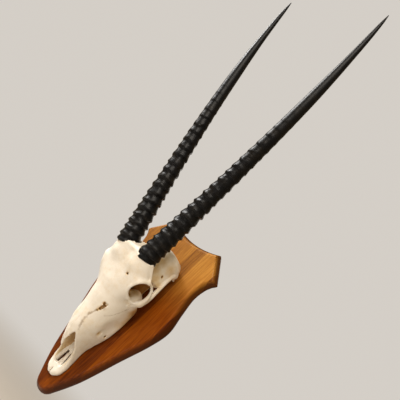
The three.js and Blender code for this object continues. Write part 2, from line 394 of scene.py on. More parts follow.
def smoothRow(along, rows, column):
    # a smooth curve through one column of the rows
    at, values = rows[:, 0], rows[:, column]
    slopes = np.gradient(values, at)
    index = np.clip(np.searchsorted(at, along) - 1, 0, len(at) - 2)
    span = at[index + 1] - at[index]
    t = np.clip((along - at[index]) / span, 0, 1)
    low, high = values[index], values[index + 1]
    ease = t * t * (3 - 2 * t)
    curl = t * (1 - t) ** 2 * slopes[index] - t * t * (1 - t) * slopes[index + 1]
    return low + (high - low) * ease + curl * span


def loftField(w, h, s, rows):
    rows = np.array(rows, float)
    half, widest, top, bottom, upper, lower = (smoothRow(s, rows, column) for column in range(1, 7))
    rise = h - widest
    above = rise > 0
    power = np.where(above, upper, lower).astype(np.float32)
    reach = np.where(above, top - widest, widest - bottom).astype(np.float32)
    size = ((np.abs(w) / half) ** power + (np.abs(rise) / reach) ** power) ** (1 / power)
    size = np.maximum(size, 1e-3)
    distance = np.sqrt(w * w + rise * rise) * (size - 1) / size
    return np.maximum(distance, np.maximum(rows[0, 0] - s, s - rows[-1, 0])).astype(np.float32)


def ball(w, h, s, centre, radii):
    parts = [(w - centre[0]), (h - centre[1]), (s - centre[2])]
    near = np.sqrt(sum((part / radius) ** 2 for part, radius in zip(parts, radii)))
    steep = np.sqrt(sum((part / radius ** 2) ** 2 for part, radius in zip(parts, radii)))
    return (near * (near - 1) / np.maximum(steep, 1e-4)).astype(np.float32)


def stick(w, h, s, first, last, radiusFirst, radiusLast):
    first, last = np.array(first, float), np.array(last, float)
    line = last - first
    parts = [w - first[0], h - first[1], s - first[2]]
    t = np.clip(sum(part * way for part, way in zip(parts, line)) / line.dot(line), 0, 1)
    gap = np.sqrt(sum((part - t * way) ** 2 for part, way in zip(parts, line)))
    return (gap - radiusFirst - t * (radiusLast - radiusFirst)).astype(np.float32)


def chain(w, h, s, points, closed=False):
    # a rod along a smooth curve through points that each give its radius too
    points = rounded(points, 3, closed)
    points = points + points[:1] if closed else points
    result = np.full(np.broadcast_shapes(w.shape, h.shape, s.shape), 40.0, np.float32)
    for first, last in zip(points, points[1:]):
        result = np.minimum(result, stick(w, h, s, first[:3], last[:3], first[3], last[3]))
    return result


def join(first, second, soft):
    mixed = np.maximum(soft - np.abs(first - second), 0) / soft
    return np.minimum(first, second) - mixed * mixed * soft * 0.25


def cut(first, second, soft):
    mixed = np.maximum(soft - np.abs(first + second), 0) / soft
    return np.maximum(first, -second) + mixed * mixed * soft * 0.25


def rounded(points, steps, closed=False):
    # more points along a smooth curve through the given ones
    points = np.array(points, float)
    count = len(points)
    result = []
    for index in range(count if closed else count - 1):
        around = [index - 1, index, index + 1, index + 2]
        around = [k % count if closed else min(max(k, 0), count - 1) for k in around]
        a, b, c, d = points[around]
        for t in np.arange(steps) / steps:
            result.append(0.5 * (2 * b + (c - a) * t + (2 * a - 5 * b + 4 * c - d) * t ** 2
                                 + (3 * b - a - 3 * c + d) * t ** 3))
    if not closed:
        result.append(points[-1])
    return [list(point) for point in result]


def skullField(w, h, s, side):
    at, flat = (w, h, s), (w, 0 * h, s)
    face = loftField(*at, faceRows)
    bone = face
    for rows, soft in ((browRows, 7), (hindRows, 12), (baseRows, 8)):
        bone = join(bone, loftField(*at, rows), soft)
    # the open nose, under the nasal bones
    opened = np.maximum(np.interp(s, *rimLine) - h, s - skullPlan["noseBack"])
    hollowed = cut(bone, opened * 0.8, 3)
    roof = np.maximum(np.maximum(face, -face - 3.4), w - np.interp(s, *nasalWidth[side]))
    roof = np.maximum(roof, np.maximum(nasalEnd[side] - s, np.maximum(s - 130, 40 - h)))
    bone = join(hollowed, roof, 1.5)
    bone = cut(bone, np.maximum(loftField(*at, channelRows), face + skullPlan["wall"]), 3)
    # slots, front notch and hollow underside of the palate
    bone = cut(bone, ball(*at, (0, -2, 64), (17, 7.5, 50)), 2)
    radius = skullPlan["slotRadius"][side]
    bone = cut(bone, stick(*flat, (9.5, 0, 31), (6, 0, 62), radius, radius + 0.2), 1.2)
    bone = cut(bone, np.maximum(stick(*flat, (0, 0, -4), (0, 0, 14), 1.3, 0.9), 3 - h), 0.6)
    # eye socket, rim, cheek arch and the dome in the socket
    bone = cut(bone, ball(*at, (76, 93, 271), (49, 32, 28.5)), 2.5)
    bone = cut(bone, ball(*at, (60, 80, 296), (24, 20, 14)), 5)
    for points, closed, soft in rods:
        bone = join(bone, chain(*at, points, closed), soft)
    bone = join(bone, ball(*at, **eyeBulb), 6)
    # nape crest and the process under it
    bone = join(bone, chain(*at, napeCrest), 13)
    bone = join(bone, stick(*at, (56, 26, 360), (57, 8, 356), 5, 2.5), 6)
    # horn pedicle, cut square to the horn
    base, handle = (np.array(point, float) for point in hornAxes["horn_left"][:2])
    heading = (handle - base) / np.linalg.norm(handle - base)
    reach = (w - base[0]) * heading[0] + (h - base[1]) * heading[1] + (s - base[2]) * heading[2]
    radius = skullPlan["pedicleRadius"]
    foot = stick(*at, base - 30 * heading, base + 8 * heading, radius, radius - 2)
    bone = join(bone, foot, 16)
    room = stick(*at, base, base + 60 * heading, 27.5, 27.5)
    bone = cut(bone, np.maximum(-reach - skullPlan["seatDepth"], room), 1)
    # small openings, and a shallow dip behind the muzzle
    if side == "left":
        bone = cut(bone, stick(*at, (33, 120, 279), (33, 144, 280), 2.8, 3.1), 1.0)
    bone = cut(bone, stick(*at, (30, 19, 153), (50, 17.5, 143), 1.9, 2.2), 1.2)
    bone = cut(bone, ball(*at, (44, 42, 142), (5, 6, 7)), 4)
    for gap in tearGaps if side == "left" else []:
        bone = cut(bone, stick(*at, *gap), 1)
    bone = cut(bone, stick(*at, (44, 60, 337), (64, 61, 336), 2.5, 2.6), 2)
    bone = cut(bone, ball(*at, (66, 38, 156), (20, 24, 36)), 16)
    return np.maximum(bone, -h)


def blurred(values, reach):
    # mean over a box, one axis at a time
    for axis in range(3):
        padding = [(0, 0)] * 3
        padding[axis] = (reach + 1, reach)
        total = np.cumsum(np.pad(values, padding, mode="edge"), axis=axis, dtype=np.float64)
        size = values.shape[axis]
        high = np.take(total, range(2 * reach + 1, 2 * reach + 1 + size), axis=axis)
        low = np.take(total, range(size), axis=axis)
        values = ((high - low) / (2 * reach + 1)).astype(np.float32)
    return values


def skin(field):
    # one point in each cell that the surface crosses, one four-sided face over each crossed edge
    cells = tuple(size - 1 for size in field.shape)
    total = int(np.prod(cells))
    sums = np.zeros((3, total))
    hits = np.zeros(total)
    quads = []
    for axis in range(3):
        first = np.take(field, range(field.shape[axis] - 1), axis=axis)
        second = np.take(field, range(1, field.shape[axis]), axis=axis)
        edges = np.argwhere((first < 0) != (second < 0))
        low = first[tuple(edges.T)]
        high = second[tuple(edges.T)]
        points = edges.astype(float)
        points[:, axis] += low / (low - high)
        one, two = (axis + 1) % 3, (axis + 2) % 3
        corners = []
        for back in ((0, 0), (1, 0), (1, 1), (0, 1)):
            cell = edges.copy()
            cell[:, one] -= back[0]
            cell[:, two] -= back[1]
            flat = np.ravel_multi_index(tuple(cell.T), cells)
            hits += np.bincount(flat, minlength=total)
            for part in range(3):
                sums[part] += np.bincount(flat, weights=points[:, part], minlength=total)
            corners.append(flat)
        quad = np.stack(corners, axis=1)
        outward = low < 0
        quads.append(np.where(outward[:, None], quad, quad[:, ::-1]))
    used = np.nonzero(hits)[0]
    number = np.full(total, -1)
    number[used] = np.arange(len(used))
    return (sums[:, used] / hits[used]).T, number[np.concatenate(quads)]


def mendedSkin(field):
    # where four faces would meet along one edge, the crack between them is filled
    for _ in range(8):
        points, quads = skin(field)
        ends = np.sort(np.stack([quads, np.roll(quads, -1, axis=1)], axis=2).reshape(-1, 2), axis=1)
        pairs, uses = np.unique(ends, axis=0, return_counts=True)
        crowded = np.unique(pairs[uses != 2])
        if len(crowded) == 0:
            break
        cells = np.floor(points[crowded]).astype(int)
        for corner in np.ndindex(2, 2, 2):
            place = tuple((cells + corner).T)
            field[place] = np.minimum(field[place], -0.15)
    print("skull skinned,", len(crowded), "crowded corners left")
    return points, quads


def largestPart(points, quads):
    # leaves out any loose crumb
    parent = list(range(len(points)))

    def root(k):
        while parent[k] != k:
            parent[k] = parent[parent[k]]
            k = parent[k]
        return k

    for a, b, c, d in quads.tolist():
        top = root(a)
        for other in (b, c, d):
            parent[root(other)] = top
    roots = np.array([root(k) for k in range(len(points))])
    main = np.bincount(roots).argmax()
    kept = roots == main
    number = np.cumsum(kept) - 1
    return points[kept], number[quads[kept[quads[:, 0]]]]


def sample(grid, points):
    # grid values at points given in cells
    low = np.clip(np.floor(points).astype(int), 0, np.array(grid.shape) - 2)
    part = points - low
    result = 0
    for corner in np.ndindex(2, 2, 2):
        weight = np.prod(np.where(corner, part, 1 - part), axis=1)
        result = result + weight * grid[tuple((low + corner).T)]
    return result


def ripple(points, length, seed):
    # smooth random waves of one length, between about -1 and 1
    rng = np.random.default_rng(seed)
    total = np.zeros(len(points))
    for _ in range(20):
        direction = rng.normal(size=3)
        direction *= 2 * math.pi / (length * np.linalg.norm(direction)) * rng.uniform(0.6, 1.4)
        total += np.sin(points @ direction + rng.uniform(0, 2 * math.pi))
    return total / 6


def rise(values, start, span):
    # from 0 up to 1 over a span
    return np.clip((values - start) / span, 0, 1)


def mirrored(points):
    return np.stack([np.abs(points[:, 0]), points[:, 1], points[:, 2]], axis=1)


def seamStrength(points):
    # 1 on a seam between two bones, 0 away from it
    wobble = 0.7 * ripple(points, 9, 31) + 0.3 * ripple(points, 4, 32)
    side = mirrored(points)
    far = 99.0
    nearest = np.full(len(points), far)
    for line in seams.values():
        for first, last in zip(line, line[1:]):
            first, last = np.array(first, float), np.array(last, float)
            way = last - first
            t = np.clip(((side - first) @ way) / way.dot(way), 0, 1)
            gap = side - first - t[:, None] * way
            gap[:, 0] *= 0.25
            nearest = np.minimum(nearest, np.linalg.norm(gap, axis=1))
    middle = np.where((side[:, 1] > 50) & (side[:, 2] < 210), side[:, 0], far)
    nearest = np.minimum(nearest, middle + 0.5)
    strength = np.clip(1.5 - np.abs(nearest + wobble) / 1.1, 0, 1)
    strength[middle < 6] *= 0.25
    strength[points[:, 0] < -6] *= 0.35    # fainter on the right
    return strength * np.clip(0.6 + 0.3 * ripple(points, 30, 33), 0.25, 1)


def paintedShadeStrength(points):
    # painted shade: dark spots, and darkening deep in the nose and the eye sockets
    side = mirrored(points)
    total = np.zeros(len(points))
    for places, marks in ((side, paintedShadeSpots), (points, leftPaintedShadeSpots)):
        for *centre, reach, strength in marks:
            gap = np.linalg.norm(places - centre, axis=1) / reach
            total = np.maximum(total, strength * np.exp(-gap * gap))
    # the walls of the nose and the eye sockets are painted darker with depth: painted shade
    out, height, along = side.T
    face, brow = (loftField(out, height, along, rows) for rows in (faceRows, browRows))
    sunk = -np.minimum(face, brow)
    inNose = (along < 165) & (height > 15) & (out < 27)
    nose = np.where(inNose, 0.40 * rise(sunk, 1.2, 9) + 0.1 * (sunk > 1.5), 0)
    deep = rise(along, 255, 8) * rise(-along, -310, 9) * rise(height, 6, 10)
    deep = deep * rise(-out, -58, 5) * (height < 113)
    fronted = rise(sunk, 2.5, 6) * (along > 244) * (along < 306) * (height > 30) * (out > 20)
    bulb = np.linalg.norm((side - eyeBulb["centre"]) / eyeBulb["radii"], axis=1)
    socket = 0.64 * np.maximum(deep, fronted) * np.clip((bulb - 1.02) / 0.18, 0.25, 1)
    return np.maximum(total, np.maximum(nose, socket))


def makeSkull():
    cell = skullPlan["cell"]
    w = np.arange(0, 93, cell, dtype=np.float32)[:, None, None]
    h = np.arange(-4, 168, cell, dtype=np.float32)[None, :, None]
    s = np.arange(-6, 402, cell, dtype=np.float32)[None, None, :]
    # the sides differ, so each is worked out on its own and the right one turned over
    right, left = (skullField(w, h, s, side) for side in ("right", "left"))
    field = np.concatenate([right[:0:-1], left])
    origin = np.array([-w.max(), h.min(), s.min()])
    points, quads = largestPart(*mendedSkin(field))
    solid = (field < 0).astype(np.float32)
    # how much bone there is round each point, near it and further off
    near, wide = (sample(blurred(solid, reach), points) for reach in (3, 8))
    places = origin + points * cell
    mesh = newMesh("skull_bone", places, quads)
    normals = np.empty(len(places) * 3)
    mesh.vertices.foreach_get("normal", normals)
    normals = normals.reshape(-1, 3)
    seam = seamStrength(places)
    # the last layer is painted shade for holes, pits, sockets and hollows
    layers = {"hollow": 0.5 * near + 0.5 * wide, "seam": seam, "shade_and_stain": paintedShadeStrength(places)}
    seed = skullPlan["seed"]
    lift = skullPlan["unevenness"] * (ripple(places, 26, seed) + 0.4 * ripple(places, 9, seed + 1))
    places = places + normals * (lift - skullPlan["seamDepth"] * seam)[:, None]
    # no skull is even: the right side leans, and the nape crest droops there
    places[:, 0] *= 1 + 0.012 * np.sin(places[:, 2] / 55) * (places[:, 0] < 0)
    out, height, along = places.T
    low = rise(-out, 0, 50) * rise(along, 350, 40) * rise(height, 0, 40)
    places -= low[:, None] * (0, 6, 5)
    places[:, 1] = np.maximum(places[:, 1], 0)
    world = np.stack([out, -(restHeight + height), along + noseZ], axis=1) * mm
    mesh.vertices.foreach_set("co", world.ravel())
    mesh.flip_normals()
    for name, values in layers.items():
        layer = mesh.attributes.new(name, "FLOAT", "POINT")
        layer.data.foreach_set("value", values.astype(np.float32))
    mesh.shade_smooth()
    mesh.update()
    piece = newObject("skull_bone", mesh, makeBone())
    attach(piece, "root")
    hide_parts("skull")
    print("skull made,", len(quads), "faces")


makeSkull()

# horn finish

hornLook = {
    "black": colour(0.003, 0.0034, 0.0045),
    "brown": colour(0.010, 0.008, 0.006),
    "worn": colour(0.035, 0.033, 0.031),
    "gloss": 0.15,
    "roughness": (0.38, 0.42),    # at the base and at the tip
}


def makeKeratin():
    look = hornLook
    material, tree, shader, place = newMaterial("dark horn")
    along = attribute(tree, "along")
    unrolled = attribute(tree, "unrolled", "Vector")
    streaks = noise(tree, unrolled, 900.0, 4.0, 0.6, (1.0, 1.0, 0.05))
    lines = noise(tree, unrolled, 420.0, 3.0, 0.6, (0.12, 0.12, 1.0))
    brown = remap(tree, noise(tree, place, 45.0, 4.0, 0.6), 0.45, 0.75, 0.0, 0.8)
    tone = mixColour(tree, brown, look["black"], look["brown"])
    crests = remap(tree, attribute(tree, "ring"), 0.55, 1.0, 0.0, 0.5)
    wear = times(tree, crests, remap(tree, streaks, 0.45, 0.7))
    tone = mixColour(tree, wear, tone, look["worn"])
    rough = swayed(tree, remap(tree, along, 0.25, 0.55, *look["roughness"]), streaks, 0.35)
    relief = calc(tree, "MULTIPLY_ADD", streaks, 0.6, times(tree, lines, 0.7))
    dress(tree, shader, tone, rough, relief, 0.7 * mm, remap(tree, along, 0.2, 0.5, 0.35, 0.2))
    shader.inputs["Specular IOR Level"].default_value = look["gloss"]
    return material


# horns: rings that fade out halfway up a tapering curve

hornPlan = {
    "Steps": 640,
    "Sides": 64,
    "Base radius": 26.2 * mm,
    "Ring count": 22.8,
    "Ringed length": 520 * mm,
    "Ring height": 4.0 * mm,
    "Ring wobble": 0.30,
    "Streak depth": 0.28 * mm,
    "Rim drop": 4.6 * mm,
}
hornSeeds = {"horn_left": 3.0, "horn_right": 11.0}
hornTaper = [   # share of the length, share of the base radius
    (0.0, 1.0), (0.06, 0.96), (0.19, 0.855), (0.27, 0.79), (0.36, 0.735), (0.475, 0.665),
    (0.575, 0.60), (0.66, 0.54), (0.74, 0.45), (0.83, 0.335), (0.915, 0.235), (0.965, 0.15),
    (1.0, 0.035),
]
ringProfile = [   # share of the way from one ring to the next, height
    (0.0, 0.0), (0.08, 0.22), (0.18, 0.72), (0.28, 1.0), (0.40, 0.90), (0.58, 0.55), (0.78, 0.22),
    (1.0, 0.0),
]


def makeHornTree():
    tree, start = newTree("ringed horn", {
        "Base": "Vector", "Base handle": "Vector", "Tip handle": "Vector", "Tip": "Vector",
        "Front": "Vector", "Seed": "Float", "Material": "Material",
    }, hornPlan)

    def store(geometry, name, value, kind="FLOAT"):
        inputs = {"Geometry": geometry, "Name": name, "Value": value}
        return put(tree, "GeometryNodeStoreNamedAttribute", inputs, data_type=kind).outputs[0]

    def read(name, kind="FLOAT"):
        inputs = {"Name": name}
        return put(tree, "GeometryNodeInputNamedAttribute", inputs, data_type=kind).outputs[0]

    def shaped(value, shape):
        node = put(tree, "ShaderNodeFloatCurve", {"Value": value})
        points = node.mapping.curves[0].points
        for _ in range(len(shape) - 2):
            points.new(0.5, 0.5)
        for point, place in zip(points, shape):
            point.location = place
            point.handle_type = "AUTO_CLAMPED"
        node.mapping.update()
        return node.outputs[0]

    curve = put(tree, "GeometryNodeCurvePrimitiveBezierSegment", {
        "Resolution": 200, "Start": start["Base"], "Start Handle": start["Base handle"],
        "End Handle": start["Tip handle"], "End": start["Tip"]}).outputs[0]
    inputs = {"Curve": curve, "Count": start["Steps"]}
    curve = put(tree, "GeometryNodeResampleCurve", inputs).outputs[0]
    spline = put(tree, "GeometryNodeSplineParameter").outputs
    position = put(tree, "GeometryNodeInputPosition").outputs[0]
    tangent = put(tree, "GeometryNodeInputTangent").outputs[0]
    curve = store(curve, "along", spline["Length"])
    curve = store(curve, "share", spline["Factor"])
    curve = store(curve, "middle", position, "FLOAT_VECTOR")
    curve = store(curve, "heading", tangent, "FLOAT_VECTOR")
    inputs = {"Resolution": start["Sides"], "Radius": 1 * mm}
    section = put(tree, "GeometryNodeCurvePrimitiveCircle", inputs, mode="RADIUS").outputs[0]
    inputs = {"Curve": curve, "Profile Curve": section, "Fill Caps": True}
    body = put(tree, "GeometryNodeCurveToMesh", inputs).outputs[0]

    along, share = read("along"), read("share")
    middle, heading = read("middle", "FLOAT_VECTOR"), read("heading", "FLOAT_VECTOR")
    radial = vectorCalc(tree, "NORMALIZE", vectorCalc(tree, "SUBTRACT", position, middle))
    # the skin laid along the horn: direction outwards and distance up, with the seed added
    outwards = scaled(tree, radial, start["Base radius"])
    unrolled = vectorCalc(tree, "ADD", outwards, joinXyz(tree, 0.0, 0.0, along))
    seeded = vectorCalc(tree, "ADD", unrolled, joinXyz(tree, *[start["Seed"]] * 3))
    radius = times(tree, shaped(share, hornTaper), start["Base radius"])

    # rings, closest together at the base
    ringed = calc(tree, "DIVIDE", along, start["Ringed length"])
    phase = times(tree, calc(tree, "POWER", ringed, 0.85), start["Ring count"])
    slow = calc(tree, "SUBTRACT", noise(tree, seeded, 28.0, 2.0), 0.5)
    turns = calc(tree, "MULTIPLY_ADD", times(tree, slow, start["Ring wobble"]), 3.0, phase)
    crest = shaped(calc(tree, "FRACT", turns), ringProfile)
    fade = remap(tree, ringed, 0.18, 1.05, 1.0, 0.0)
    lumps = remap(tree, noise(tree, seeded, 55.0, 3.0), 0.3, 0.7, 0.75, 1.2)
    height = times(tree, times(tree, start["Ring height"], fade), lumps)
    radius = swayed(tree, radius, crest, height, 0.45)
    # fine growth lines between the rings, long streaks above them
    fine = noise(tree, seeded, 260.0, 3.0, 0.6, (0.15, 0.15, 1.0))
    fineDepth = times(tree, calc(tree, "MULTIPLY_ADD", fade, 2.0 * mm, 0.3 * mm), 0.45)
    radius = swayed(tree, radius, fine, fineDepth)
    streak = noise(tree, seeded, 300.0, 3.0, 0.6, (1.0, 1.0, 0.06))
    radius = swayed(tree, radius, streak, start["Streak depth"])
    radius = calc(tree, "MAXIMUM", radius, 0.3 * mm)

    # the worn rim hangs lower in front, and the skin turns in towards it
    facing = calc(tree, "MAXIMUM", vectorCalc(tree, "DOT_PRODUCT", radial, start["Front"]), 0.0)
    ragged = calc(tree, "ADD", noise(tree, seeded, 110.0, 3.0, 0.7), facing)
    nearBase = remap(tree, along, 0.0, 38 * mm, 1.0, 0.0)
    drop = times(tree, times(tree, ragged, nearBase), start["Rim drop"])
    turnedIn = times(tree, remap(tree, along, 0.0, 7 * mm, 1.0, 0.0), -2.8 * mm)
    place = scaled(tree, radial, calc(tree, "ADD", radius, turnedIn))
    final = vectorCalc(tree, "SUBTRACT", vectorCalc(tree, "ADD", middle, place),
                       scaled(tree, heading, drop))
    # what the finish reads is stored before the skin moves out
    body = store(body, "ring", times(tree, crest, fade))
    body = store(body, "unrolled", seeded, "FLOAT_VECTOR")
    body = put(tree, "GeometryNodeSetPosition", {"Geometry": body, "Position": final}).outputs[0]
    for name in ("middle", "heading", "share"):
        inputs = {"Geometry": body, "Name": name}
        body = put(tree, "GeometryNodeRemoveAttribute", inputs).outputs[0]
    body = put(tree, "GeometryNodeSetShadeSmooth", {"Geometry": body}).outputs[0]
    finishTree(tree, body, start["Material"])
    return tree


def makeHorns():
    tree = makeHornTree()
    keratin = makeKeratin()
    for name, axis in hornAxes.items():
        base, baseHandle, tipHandle, tip = (skullPoint(*point) for point in axis)
        base -= (skullPlan["seatDepth"] + 1) * mm * (baseHandle - base).normalized()
        front = Vector((-0.45 if base.x > 0 else 0.45, -0.8, -0.4)).normalized()
        piece = grow(name + "_sheath", tree, {
            **hornPlan, "Base": base, "Base handle": baseHandle, "Tip handle": tipHandle,
            "Tip": tip, "Front": front, "Seed": hornSeeds[name], "Material": keratin})
        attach(piece, "root")
        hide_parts(name)
        print(name, "made,", len(piece.data.polygons), "faces")


makeHorns()

# varnished wood

woodLook = {
    "strip": 31 * mm,
    "lowStages": [   # the lower board is painted darker, the upper paler and golden: painted light and shade
        (0.1, colour(0.065, 0.011, 0.001)), (0.95, colour(0.41, 0.118, 0.004)),
        (0.45, colour(0.20, 0.043, 0.001)),
    ],
    "highStages": [
        (0.1, colour(0.17, 0.055, 0.008)), (0.95, colour(0.66, 0.34, 0.07)),
        (0.45, colour(0.41, 0.175, 0.025)),
    ],
    # the sloped edge's dark colour: deeper stain with painted shade
    "edge": colour(0.050, 0.012, 0.0015),
    "roughness": (0.38, 0.52),
    "coat": 0.08,
    "coatRoughness": 0.16,
    "gloss": 0.12,
}


def makeWood():
    look = woodLook
    material, tree, shader, place = newMaterial("varnished wood")
    parts = splitXyz(tree, place)
    across = swayed(tree, parts["X"], noise(tree, place, 3.0, 1.0), 0.012)
    strips = calc(tree, "DIVIDE", across, look["strip"])
    strip = calc(tree, "FLOOR", strips)
    inStrip = calc(tree, "FRACT", strips)
    pick = put(tree, "ShaderNodeTexWhiteNoise", {"W": strip}, noise_dimensions="1D").outputs[0]
    shift = scaled(tree, joinXyz(tree, 0.3, 0.9, 1.7), times(tree, strip, 3.1))
    own = vectorCalc(tree, "ADD", place, shift)
    grain = vectorCalc(tree, "MULTIPLY", own, (1.0, 1.0, 0.07))
    bands = calc(tree, "PINGPONG", times(tree, noise(tree, grain, 42.0, 4.0, 0.55), 9.0), 0.5)
    fibre = noise(tree, own, 900.0, 3.0, 0.65, (1.0, 1.0, 0.02))
    tone = calc(tree, "MULTIPLY_ADD", bands, 0.40, calc(tree, "MULTIPLY_ADD", fibre, 0.26, 0.08))
    tone = calc(tree, "ADD", tone, calc(tree, "MULTIPLY_ADD", pick, 0.36, -0.12))
    low, high = (ramp(tree, tone, look[key]) for key in ("lowStages", "highStages"))
    # painted light: paler, golden wood higher up, darker wood lower down
    tone = mixColour(tree, remap(tree, parts["Z"], 0.04, 0.21), low, high)
    toJoint = calc(tree, "MINIMUM", inStrip, calc(tree, "SUBTRACT", 1.0, inStrip))
    joint = remap(tree, toJoint, 0.0, 0.02, 0.5, 0.0)
    tone = mixColour(tree, joint, tone, look["lowStages"][0][1])
    # the sloped edge is painted darker from the face back towards the wall: painted shade over its
    # deeper stain, but not on the back
    depth = times(tree, parts["Y"], -1.0)
    slopeStainAndShade = remap(tree, depth, 12.0 * mm, 22.2 * mm, 0.88, 0.0)
    edge = times(tree, slopeStainAndShade, remap(tree, depth, 0.0, 0.4 * mm))
    tone = mixColour(tree, edge, tone, look["edge"])
    relief = calc(tree, "MULTIPLY_ADD", fibre, 0.25, noise(tree, grain, 30.0, 2.0))
    rough = remap(tree, fibre, 0.3, 0.7, *look["roughness"])
    dress(tree, shader, tone, rough, relief, 0.5 * mm, 0.35)
    shader.inputs["Specular IOR Level"].default_value = look["gloss"]
    shader.inputs["Coat Weight"].default_value = look["coat"]
    shader.inputs["Coat Roughness"].default_value = look["coatRoughness"]
    return material


# shield board

boardPlan = {
    "edge": [   # inset and depth round the edge, from the back to the face
        (1.2, 0.0), (0.4, 0.25), (0.0, 1.0), (0.0, 3.5), (0.0, 5.6), (0.15, 6.8), (0.7, 8.2),
        (2.4, 10.8), (5.0, 14.7), (7.7, 18.7), (8.6, 19.9), (9.6, 20.9), (10.8, 21.6),
        (12.2, 21.95), (13.6, 22.0),
    ],
    "tip": [[0, -45], [13, -45], [20, -41], [27.5, -31]],
    "side": [[27.5, -31], [63, 36], [98.5, 133], [126, 207], [137.5, 260], [128, 313], [120.5, 360],
             [125, 394], [133, 412]],
    "earCorner": [142, 423],
    "top": [[89, 491], [60, 478], [30, 471], [0, 471]],
    "earRounding": 3.0,
    "pocket": {"width": 74, "height": 30, "depth": 6, "radius": 8, "along": 410},
    "screwHoles": [(0, 150), (0, 300)],
    "holeSteps": [(6.4, -1), (6.4, 1.2), (2.8, 5), (2.8, 24)],    # radius, depth
}


def bezier(points, count):
    a, b, c, d = (np.array(point, float) for point in points)
    t = np.linspace(0, 1, count + 1)[:, None]
    return (1 - t) ** 3 * a + 3 * t * (1 - t) ** 2 * b + 3 * t * t * (1 - t) * c + t ** 3 * d


def boardOutline():
    # the outline with sharp ear corners, and where those corners are
    plan = boardPlan
    tip, top = bezier(plan["tip"], 16), bezier(plan["top"], 24)
    right = np.concatenate([tip[:-1], rounded(plan["side"], 14), [plan["earCorner"]], top])
    ear = len(right) - len(top) - 1
    outline = np.concatenate([right, right[-2:0:-1] * (-1, 1)])
    count = len(outline)
    return outline, [ear, ear + 1, count - ear - 1, count - ear]


def inset(outline, distance):
    # each point moves square to the outline, further where it turns sharply
    square = []
    for way in (outline - np.roll(outline, 1, axis=0), np.roll(outline, -1, axis=0) - outline):
        turned = np.stack([-way[:, 1], way[:, 0]], axis=1)
        square.append(turned / np.linalg.norm(way, axis=1)[:, None])
    middle = square[0] + square[1]
    middle /= np.linalg.norm(middle, axis=1)[:, None]
    reach = np.clip((middle * square[0]).sum(axis=1), 0.5, 1)
    return outline + middle * (distance / reach)[:, None]


def roundCorners(outline, corners, cutBack):
    pieces = []
    for index, point in enumerate(outline):
        if index not in corners:
            pieces.append([point])
            continue
        ends = []
        for other in (outline[index - 1], outline[(index + 1) % len(outline)]):
            way = other - point
            ends.append(point + way * min(cutBack / np.linalg.norm(way), 0.45))
        t = np.linspace(0, 1, 6)[:, None]
        pieces.append((1 - t) ** 2 * ends[0] + 2 * t * (1 - t) * point + t * t * ends[1])
    return np.concatenate(pieces)


def roundedBox(width, height, radius):
    corners = []
    for signX, signZ, turn in ((1, 1, 0), (-1, 1, 1), (-1, -1, 2), (1, -1, 3)):
        for step in range(9):
            angle = (turn + step / 8) * math.pi / 2
            corners.append((signX * (width / 2 - radius) + radius * math.cos(angle),
                            signZ * (height / 2 - radius) + radius * math.sin(angle)))
    return np.array(corners)


def ringsMesh(name, rings):
    # rings of points, back to front, joined and closed at both ends
    count = len(rings[0])
    points = np.concatenate(rings)
    faces = []
    for ring in range(len(rings) - 1):
        low, high = ring * count, (ring + 1) * count
        for k in range(count):
            after = (k + 1) % count
            faces.append((low + k, low + after, high + after, high + k))
    faces.append(tuple(range(count))[::-1])
    faces.append(tuple(range((len(rings) - 1) * count, len(rings) * count)))
    return newMesh(name, points, faces)


def flatRing(outline, depth, along=0.0, out=0.0):
    x = (outline[:, 0] + out) * mm
    z = (outline[:, 1] + along + noseZ) * mm
    return np.stack([x, np.full(len(x), -depth * mm), z], axis=1)


def makeBoard():
    plan = boardPlan
    outline, corners = boardOutline()
    rings = []
    for distance, depth in plan["edge"]:
        ring = roundCorners(inset(outline, distance), corners, plan["earRounding"])
        rings.append(flatRing(ring, depth))
    mesh = ringsMesh("board", rings)
    for face in mesh.polygons:
        face.use_smooth = len(face.vertices) == 4
    piece = newObject("shield_board_wood", mesh, makeWood())
    pocket = plan["pocket"]
    box = roundedBox(pocket["width"], pocket["height"], pocket["radius"])
    cutters = [[flatRing(box, depth, pocket["along"]) for depth in (-2, pocket["depth"])]]
    circle = np.array([(math.cos(a), math.sin(a)) for a in np.arange(32) * math.pi / 16])
    for out, along in plan["screwHoles"]:
        cutters.append([flatRing(circle * r, depth, along, out) for r, depth in plan["holeSteps"]])
    tools = [newObject("cutter", ringsMesh("cutter", cutter)) for cutter in cutters]
    for tool in tools:
        modifier = piece.modifiers.new("cut", "BOOLEAN")
        modifier.operation = "DIFFERENCE"
        modifier.solver = "EXACT"
        modifier.object = tool
    makePlain(piece)
    for tool in tools:
        bpy.data.objects.remove(tool)
    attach(piece, "root")
    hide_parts("shield_board")
    print("board made,", len(piece.data.polygons), "faces")


makeBoard()

# hanger plate and screws

metalLook = {
    "yellow passivated": {"tint": colour(0.60, 0.50, 0.27), "roughness": 0.32},
    "zinc plated": {"tint": colour(0.55, 0.56, 0.57), "roughness": 0.3},
}
# millimetres
domedScrew = {
    "Length": 15.7, "Face radius": 2.6, "Neck radius": 3.9, "Head depth": 2.45, "Shank radius": 1.6,
    "Thread pitch": 1.4, "Thread depth": 0.45, "Tip length": 3.0, "Recess": 1.9,
    "Recess depth": 1.5,
}
sunkScrew = {
    "Length": 39.5, "Face radius": 6.0, "Neck radius": 2.4, "Head depth": 4.1, "Shank radius": 2.4,
    "Thread pitch": 2.2, "Thread depth": 0.7, "Tip length": 4.0, "Recess": 3.1, "Recess depth": 2.6,
}
rims = {"brassed_steel": 0.0, "zinc_steel": 0.1}    # the straight share of a head's depth
screws = {   # kind, finish, slot, place of the head's face as out, depth, along
    "hanger_screw_left": (domedScrew, "yellow passivated", "brassed_steel", (26, 1.3, 410)),
    "hanger_screw_right": (domedScrew, "yellow passivated", "brassed_steel", (-26, 1.3, 410)),
    "skull_screw_front": (sunkScrew, "zinc plated", "zinc_steel", (0, 0.5, 150)),
    "skull_screw_rear": (sunkScrew, "zinc plated", "zinc_steel", (0, 0.5, 300)),
}


